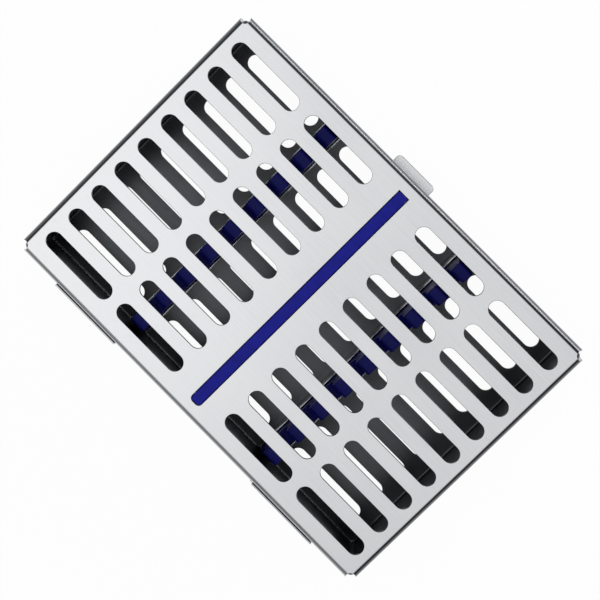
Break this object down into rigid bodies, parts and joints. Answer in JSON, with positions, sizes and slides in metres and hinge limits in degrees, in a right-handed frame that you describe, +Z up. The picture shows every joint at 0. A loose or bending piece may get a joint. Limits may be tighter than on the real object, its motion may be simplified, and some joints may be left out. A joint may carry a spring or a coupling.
{
  "type": "dental instrument cassette",
  "caption": "Slotted stainless steel tray with a hinged perforated lid, blue silicone combs and hold-down bar, and a slide latch.",
  "frame": {"origin": "middle of the tray's underside, on the floor's centre rib, at the surface the cassette stands on", "axes": "+Z up, X along the long side, the latch and its thumb lip at -Y, the hinge at +Y"},
  "size_m": [0.203, 0.1479, 0.0323],
  "materials": {
    "brushed_steel": "fine satin brushed stainless steel sheet",
    "polished_steel": "bright rolled stainless steel strip",
    "blue_silicone": "matt moulded navy blue silicone"
  },
  "bodies": {
    "base": {"base_tray": "brushed_steel", "rail_channel_left": "polished_steel", "rail_channel_right": "polished_steel", "silicone_rail_left": "blue_silicone", "silicone_rail_right": "blue_silicone", "hinge_leaf_base_left": "polished_steel", "hinge_leaf_base_right": "polished_steel", "hinge_pin_left": "polished_steel", "hinge_pin_right": "polished_steel", "latch_rivet_left": "polished_steel", "latch_rivet_right": "polished_steel", "latch_washer_left": "polished_steel", "latch_washer_right": "polished_steel"},
    "lid": {"lid_cover": "brushed_steel", "hold_down_bar": "blue_silicone", "hold_down_channel": "polished_steel", "hinge_leaf_lid_left": "polished_steel", "hinge_leaf_lid_right": "polished_steel", "latch_catch_left": "polished_steel", "latch_catch_right": "polished_steel"},
    "latch": {"latch_slide": "brushed_steel"}
  },
  "joints": [
    {"name": "lid_hinge", "type": "hinge", "parent": "base", "child": "lid", "pos_m": [0, 0.0721, 0.02], "axis": [-1, 0, 0], "range_deg": [0, 180]},
    {"name": "latch_travel", "type": "slide", "parent": "base", "child": "latch", "axis": [-1, 0, 0], "range_m": [0, 0.0043]}
  ]
}
